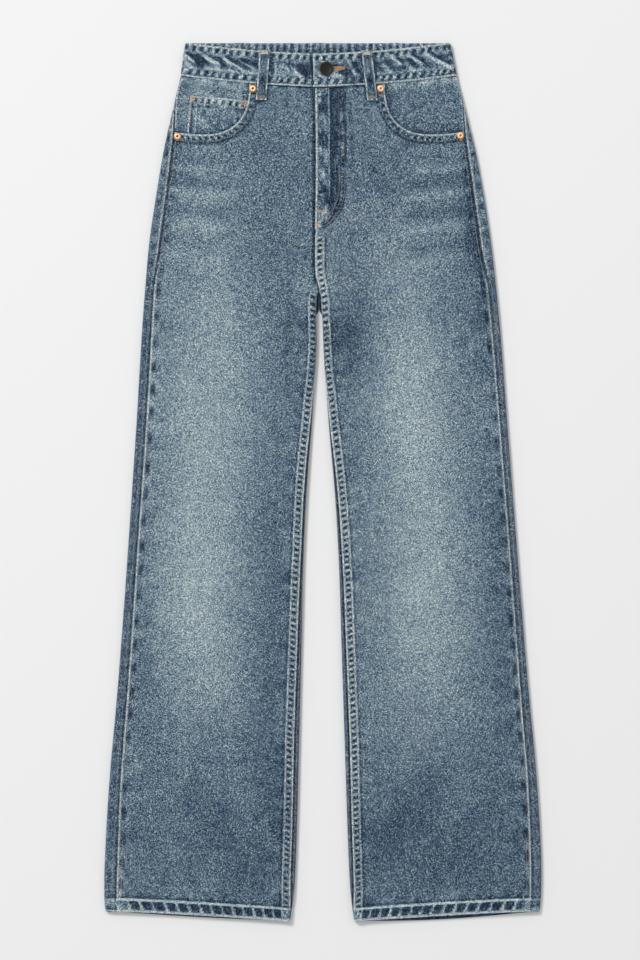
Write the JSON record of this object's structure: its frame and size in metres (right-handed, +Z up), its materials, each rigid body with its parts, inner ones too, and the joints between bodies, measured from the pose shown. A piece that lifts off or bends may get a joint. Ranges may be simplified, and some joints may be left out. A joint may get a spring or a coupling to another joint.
{
  "type": "straight leg jeans",
  "caption": "Straight leg denim jeans laid flat, front up, with a fly, waist button, belt loops, curved front pockets, riveted corners and stitched hems.",
  "frame": {"origin": "middle of the garment's outline, on the surface that it lies on", "axes": "+Z up off the surface, +Y towards the waist, +X towards the wearer's left"},
  "size_m": [0.5315, 1.0715, 0.0122],
  "materials": {
    "denim": "washed twill, matt",
    "thread": "twisted sewing thread",
    "button_metal": "matt black",
    "rivet_copper": "worn copper"
  },
  "bodies": {
    "root": {"front_right": "denim", "front_left": "denim", "back_right": "denim", "back_left": "denim", "yoke_right": "denim", "yoke_left": "denim", "waistband": "denim", "fly_facing": "denim", "pocket_facing_right": "denim", "pocket_facing_left": "denim", "coin_pocket": "denim", "back_pocket_right": "denim", "back_pocket_left": "denim", "belt_loop_front_right": "denim", "belt_loop_front_left": "denim", "belt_loop_back_right": "denim", "belt_loop_back_left": "denim", "belt_loop_back_centre": "denim", "waist_button": "button_metal", "rivet_right_inner": "rivet_copper", "rivet_right_outer": "rivet_copper", "rivet_left_inner": "rivet_copper", "rivet_left_outer": "rivet_copper"}
  },
  "joints": []
}
